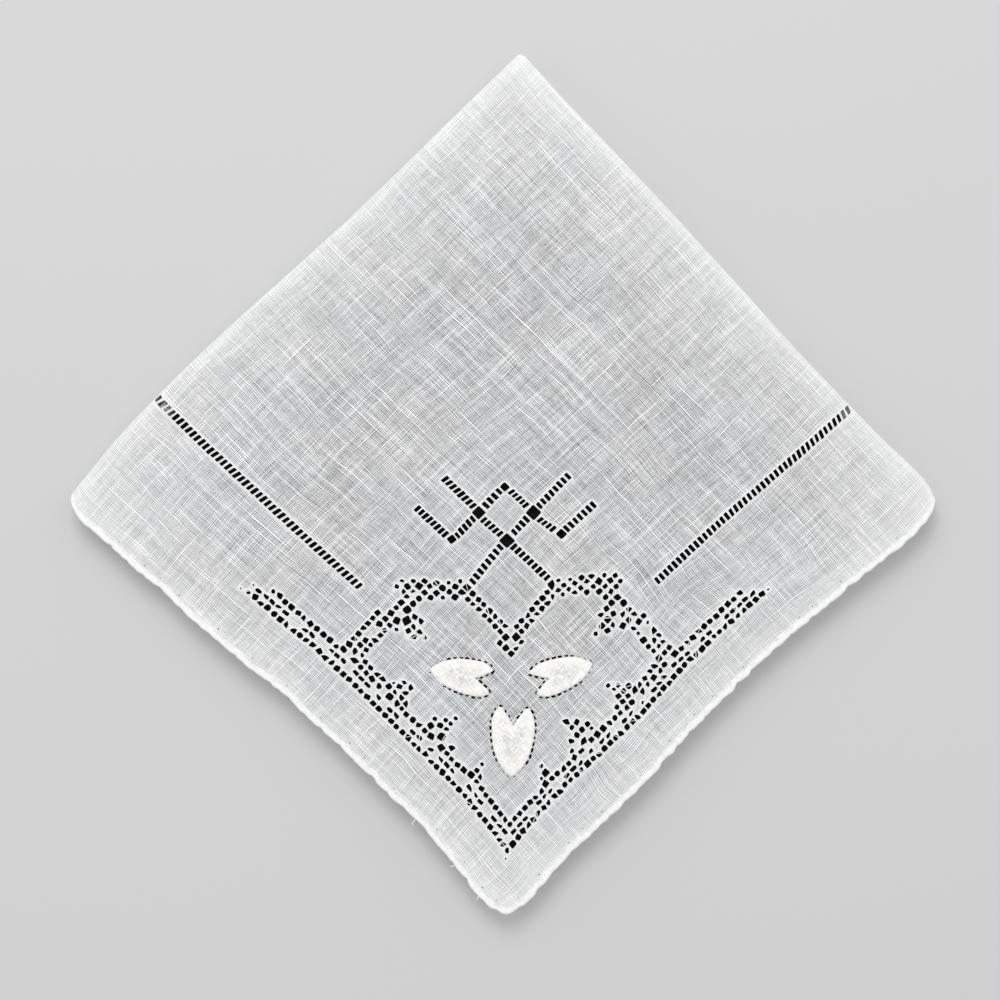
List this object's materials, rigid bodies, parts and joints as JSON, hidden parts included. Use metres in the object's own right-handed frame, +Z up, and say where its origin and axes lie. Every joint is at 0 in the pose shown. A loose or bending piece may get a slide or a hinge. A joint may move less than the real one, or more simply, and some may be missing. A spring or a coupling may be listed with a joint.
{
  "type": "folded linen handkerchief",
  "caption": "Square linen handkerchief folded in quarters, with a rolled hem, drawn-thread and punched openwork, and applied petals.",
  "frame": {"origin": "under the middle of the folded bundle, on the surface that it lies on", "axes": "+Z up out of the surface; +Y from the middle towards the corner where both folds meet; +X to the right as seen from above"},
  "size_m": [0.2036, 0.2026, 0.0075],
  "materials": {
    "linen": "matt sheer plain weave",
    "petal_linen": "matt close plain weave, cream white"
  },
  "bodies": {
    "root": {"cloth": "linen", "petal_bottom": "petal_linen", "petal_left": "petal_linen", "petal_right": "petal_linen"}
  },
  "joints": []
}
